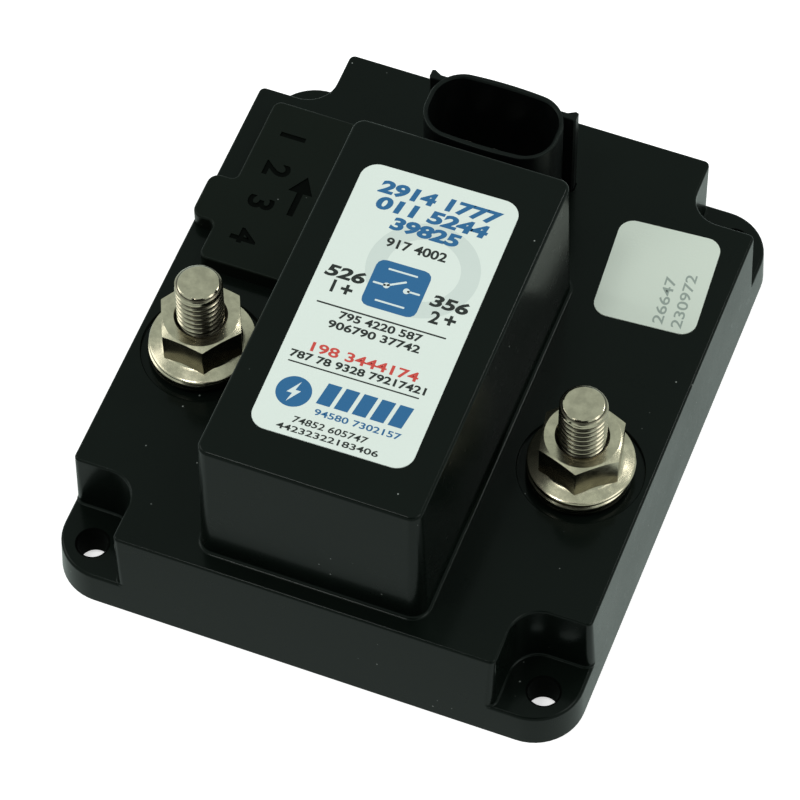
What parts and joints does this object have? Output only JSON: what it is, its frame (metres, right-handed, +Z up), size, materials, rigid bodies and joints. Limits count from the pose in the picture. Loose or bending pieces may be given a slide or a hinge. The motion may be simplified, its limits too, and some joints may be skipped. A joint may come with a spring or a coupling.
{
  "type": "battery isolator relay",
  "caption": "Low rectangular sealed relay housing with a tall centre tower, two threaded terminal studs, a plug-in connector, a switch cover and notched mounting ears.",
  "frame": {"origin": "centre of the four mounting holes, on the face that the relay rests on", "axes": "+Z up, away from the panel; +Y along the long side, from the front towards the plug-in connector; +X along the short side, to the right when seen from the front"},
  "size_m": [0.0918, 0.1078, 0.049],
  "materials": {
    "housing_plastic": "satin moulded black plastic",
    "base_plastic": "matte moulded black plastic",
    "cover_plastic": "satin moulded black plastic",
    "connector_plastic": "satin moulded black plastic",
    "dark_rubber": "soft dark seal rubber",
    "red_rubber": "soft red seal rubber",
    "stainless_steel": "bright stainless steel",
    "zinc_steel": "zinc plated steel",
    "spring_steel": "drawn spring wire",
    "brass": "turned brass",
    "copper": "bare copper",
    "contact_silver": "silver alloy contact faces",
    "board_green": "glass fibre board with green lacquer",
    "chip_black": "moulded chip bodies",
    "capacitor_can": "sleeved metal cans",
    "switch_red": "gloss red plastic",
    "slider_white": "gloss white plastic",
    "lens_clear": "clear moulded plastic",
    "label_film": "off-white printed film",
    "pin_tin": "plated brass blades",
    "bobbin_plastic": "cream moulded plastic",
    "coil_wire": "lacquered copper winding",
    "coil_tape": "yellow polyester tape",
    "carrier_plastic": "brown moulded phenolic",
    "foam_pad": "closed-cell foam",
    "lead_red": "red insulated wire",
    "lead_tan": "tan insulated wire"
  },
  "bodies": {
    "root": {"housing": "housing_plastic", "base_plate": "base_plastic", "base_gasket": "dark_rubber", "base_screws": "zinc_steel", "circuit_board": "board_green", "board_screws": "zinc_steel", "board_chips": "chip_black", "board_capacitors": "capacitor_can", "dip_switch_body": "switch_red", "connector_header": "connector_plastic", "connector_pins": "pin_tin", "connector_seal": "red_rubber", "status_led": "lens_clear", "light_pipe": "lens_clear", "status_label": "label_film", "main_label": "label_film", "terminal_stud_1": "stainless_steel", "terminal_stud_2": "stainless_steel", "terminal_collar_1": "brass", "terminal_collar_2": "brass", "terminal_seal_1": "dark_rubber", "terminal_seal_2": "dark_rubber", "terminal_washer_1": "stainless_steel", "terminal_washer_2": "stainless_steel", "busbar_1": "copper", "busbar_2": "copper", "fixed_contact_1": "contact_silver", "fixed_contact_2": "contact_silver", "contact_carrier": "carrier_plastic", "relay_screws": "zinc_steel", "return_spring": "spring_steel", "fixed_core": "zinc_steel", "bobbin": "bobbin_plastic", "coil_winding": "coil_wire", "coil_tape": "coil_tape", "yoke_frame": "zinc_steel", "yoke_plate": "zinc_steel", "relay_pad": "foam_pad", "coil_leads": "lead_red", "sense_leads": "lead_tan"},
    "plunger_set": {"plunger": "zinc_steel", "plunger_rod": "stainless_steel", "rod_clip": "spring_steel", "spring_seat": "zinc_steel"},
    "bridge_set": {"contact_bridge": "copper", "bridge_contacts": "contact_silver", "contact_spring": "spring_steel"},
    "cover_set": {"dip_cover": "cover_plastic", "dip_cover_seal": "dark_rubber"},
    "nut_1": {"terminal_nut_1": "stainless_steel"},
    "nut_2": {"terminal_nut_2": "stainless_steel"},
    "slider_1": {"dip_slider_1": "slider_white"},
    "slider_2": {"dip_slider_2": "slider_white"},
    "slider_3": {"dip_slider_3": "slider_white"},
    "slider_4": {"dip_slider_4": "slider_white"}
  },
  "joints": [
    {"name": "plunger_stroke", "type": "slide", "parent": "root", "child": "plunger_set", "axis": [0, 0, 1], "range_m": [0, 0.0025], "stiffness_N_per_m": 300, "springref_m": -0.004, "deforming": ["return_spring"]},
    {"name": "bridge_stroke", "type": "slide", "parent": "root", "child": "bridge_set", "axis": [0, 0, 1], "range_m": [0, 0.00215], "deforming": ["contact_spring"]},
    {"name": "cover_lift", "type": "slide", "parent": "root", "child": "cover_set", "axis": [0, 0, 1], "range_m": [0, 0.012]},
    {"name": "nut_1_lift", "type": "slide", "parent": "root", "child": "nut_1", "axis": [0, 0, 1], "range_m": [0, 0.018]},
    {"name": "nut_2_lift", "type": "slide", "parent": "root", "child": "nut_2", "axis": [0, 0, 1], "range_m": [0, 0.018]},
    {"name": "slider_1_slide", "type": "slide", "parent": "root", "child": "slider_1", "axis": [1, 0, 0], "range_m": [0, 0.002]},
    {"name": "slider_2_slide", "type": "slide", "parent": "root", "child": "slider_2", "axis": [1, 0, 0], "range_m": [0, 0.002]},
    {"name": "slider_3_slide", "type": "slide", "parent": "root", "child": "slider_3", "axis": [1, 0, 0], "range_m": [0, 0.002]},
    {"name": "slider_4_slide", "type": "slide", "parent": "root", "child": "slider_4", "axis": [1, 0, 0], "range_m": [0, 0.002]}
  ],
  "couplings": [
    {"joint": "bridge_stroke", "follows": "plunger_stroke", "ratio": 0.86}
  ]
}
